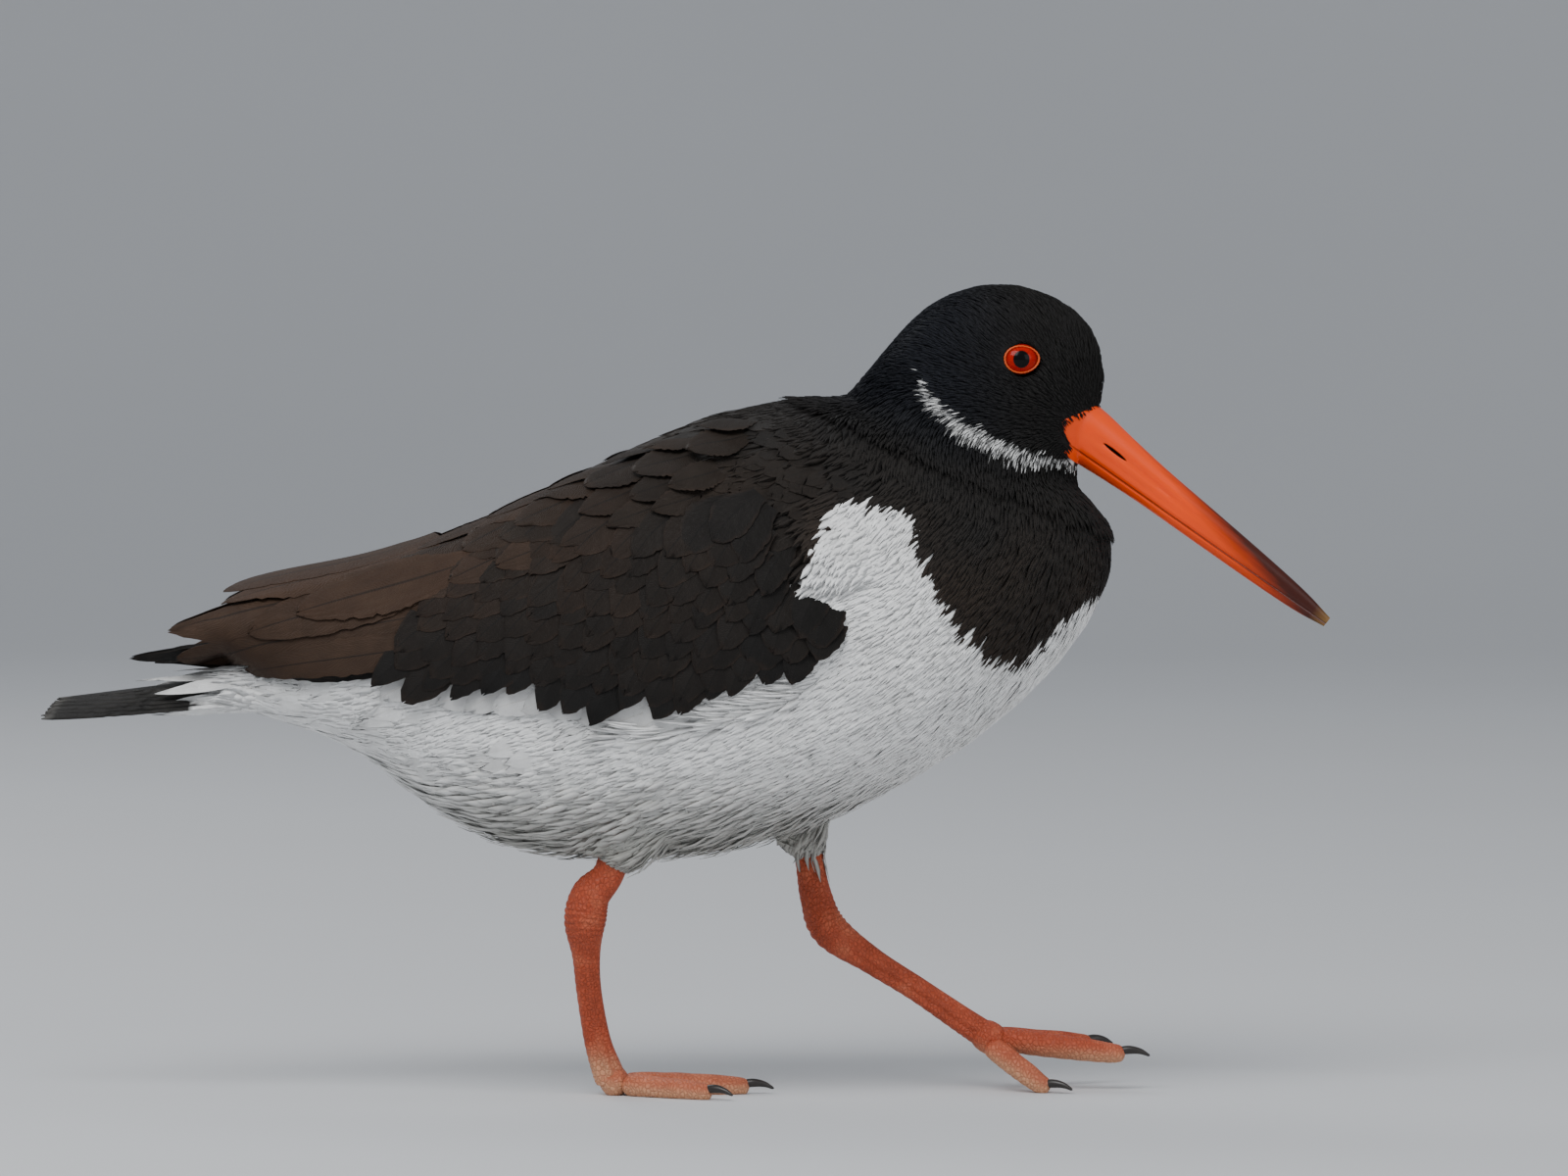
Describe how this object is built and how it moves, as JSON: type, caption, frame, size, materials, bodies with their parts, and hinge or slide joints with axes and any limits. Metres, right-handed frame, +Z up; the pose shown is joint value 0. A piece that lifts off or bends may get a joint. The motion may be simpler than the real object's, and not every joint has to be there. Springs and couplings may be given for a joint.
{
  "type": "oystercatcher",
  "caption": "Still life-size wading bird in mid step, with a long bill, folded wings and feathered body, resting on its planted foot and one leading toe.",
  "frame": {"origin": "on the floor, in the flat sole of the planted right foot", "axes": "+X the way the bird faces, +Y to the bird's left, +Z up"},
  "size_m": [0.3424, 0.1038, 0.2152],
  "materials": {
    "black_plumage": "soft small feathers, black with a faint blue or brown tinge",
    "white_plumage": "soft white feathers, a little warm where they are worn",
    "body_plumage": "small body feathers, white belly and black breast and back",
    "wing_plumage": "brown-black vanes, matte with a faint sheen",
    "tail_plumage": "white at the base, black at the frayed tips",
    "bill_horn": "smooth horn, orange-red with a dusky tip",
    "leg_skin": "scaly orange-red skin",
    "toe_skin": "scaly skin, paler and yellowish at the edges",
    "claw_horn": "dark worn horn",
    "iris": "wet deep red eye with a black pupil",
    "eye_ring": "bare orange skin"
  },
  "bodies": {
    "root": {"torso": "body_plumage", "rump": "white_plumage", "neck": "black_plumage", "head": "black_plumage", "upper_mandible": "bill_horn", "lower_mandible": "bill_horn", "tail": "tail_plumage", "eye_right": "iris", "eyelid_right": "eye_ring", "wing_right": "wing_plumage", "thigh_right": "white_plumage", "tibia_right": "leg_skin", "tarsus_right": "leg_skin", "foot_right": "leg_skin", "toe_inner_right": "toe_skin", "claw_inner_right": "claw_horn", "toe_middle_right": "toe_skin", "claw_middle_right": "claw_horn", "toe_outer_right": "toe_skin", "claw_outer_right": "claw_horn", "eye_left": "iris", "eyelid_left": "eye_ring", "wing_left": "wing_plumage", "thigh_left": "white_plumage", "tibia_left": "leg_skin", "tarsus_left": "leg_skin", "foot_left": "leg_skin", "toe_inner_left": "toe_skin", "claw_inner_left": "claw_horn", "toe_middle_left": "toe_skin", "claw_middle_left": "claw_horn", "toe_outer_left": "toe_skin", "claw_outer_left": "claw_horn"}
  },
  "joints": []
}
